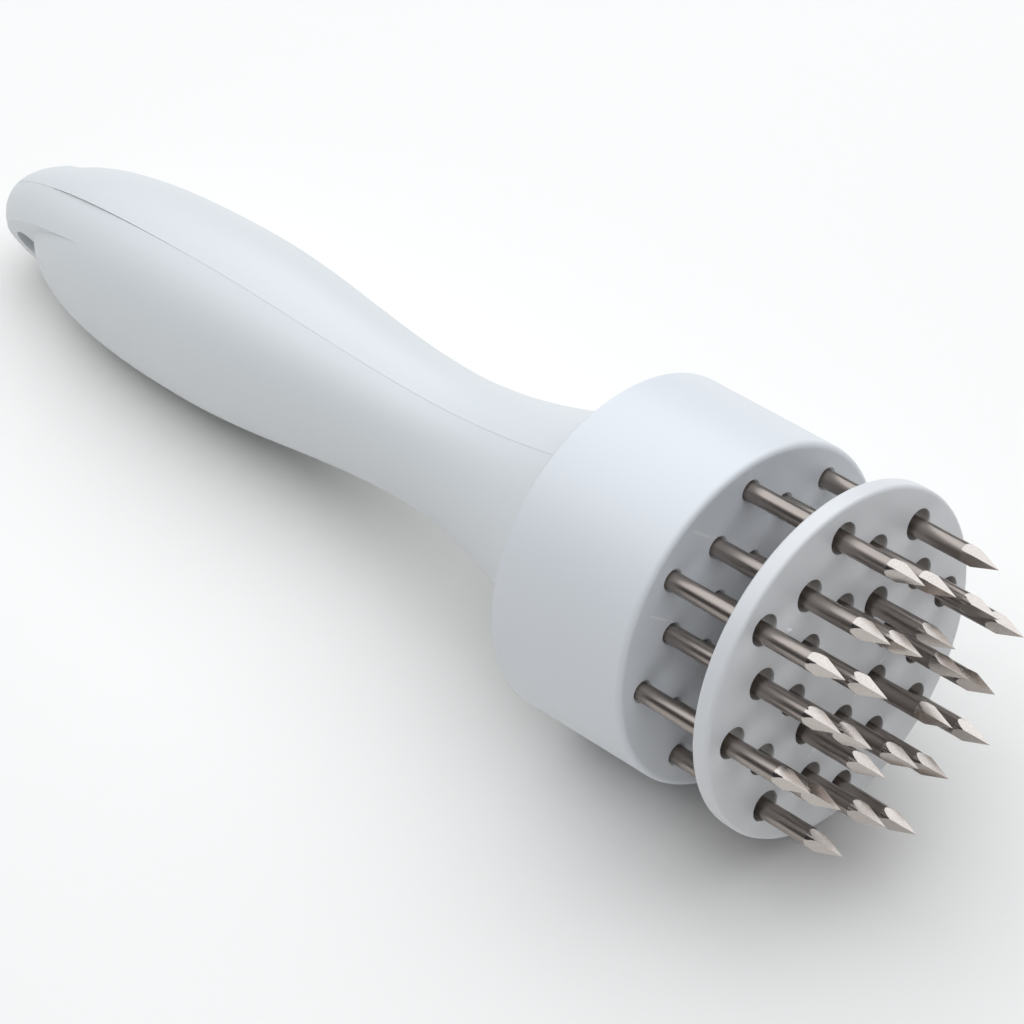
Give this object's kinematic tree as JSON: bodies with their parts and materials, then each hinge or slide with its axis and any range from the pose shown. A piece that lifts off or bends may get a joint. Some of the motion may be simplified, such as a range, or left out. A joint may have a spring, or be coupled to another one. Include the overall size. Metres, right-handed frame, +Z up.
{
  "type": "needle meat tenderizer",
  "caption": "Hand meat tenderizer: round head full of pointed steel needles, a loose pusher disc that slides on them, and a hollow two-part grip with a flat hanging tab.",
  "frame": {"origin": "middle of the tool's box, on the surface that it lies on", "axes": "+X along the tool from the handle to the needle points, +Z up; the tool lies on the head's back rim and the grip's bulge"},
  "size_m": [0.207, 0.0557, 0.0603],
  "materials": {
    "handle_plastic": "satin white moulded polypropylene",
    "head_plastic": "satin white moulded ABS",
    "disc_plastic": "satin white moulded ABS",
    "needle_steel": "drawn stainless wire, ground points",
    "screw_steel": "zinc plated"
  },
  "bodies": {
    "tool": {"handle_near_half": "handle_plastic", "handle_far_half": "handle_plastic", "needle_head": "head_plastic", "clamp_plate": "head_plastic", "clamp_screws": "screw_steel", "needle_01": "needle_steel", "needle_02": "needle_steel", "needle_03": "needle_steel", "needle_04": "needle_steel", "needle_05": "needle_steel", "needle_06": "needle_steel", "needle_07": "needle_steel", "needle_08": "needle_steel", "needle_09": "needle_steel", "needle_10": "needle_steel", "needle_11": "needle_steel", "needle_12": "needle_steel", "needle_13": "needle_steel", "needle_14": "needle_steel", "needle_15": "needle_steel", "needle_16": "needle_steel", "needle_17": "needle_steel", "needle_18": "needle_steel", "needle_19": "needle_steel", "needle_20": "needle_steel", "needle_21": "needle_steel", "needle_22": "needle_steel", "needle_23": "needle_steel", "needle_24": "needle_steel"},
    "pusher": {"pusher_disc": "disc_plastic"}
  },
  "joints": [
    {"name": "pusher_slide", "type": "slide", "parent": "tool", "child": "pusher", "axis": [0.9935, 0, 0.1136], "range_m": [-0.0138, 0.0084]}
  ]
}
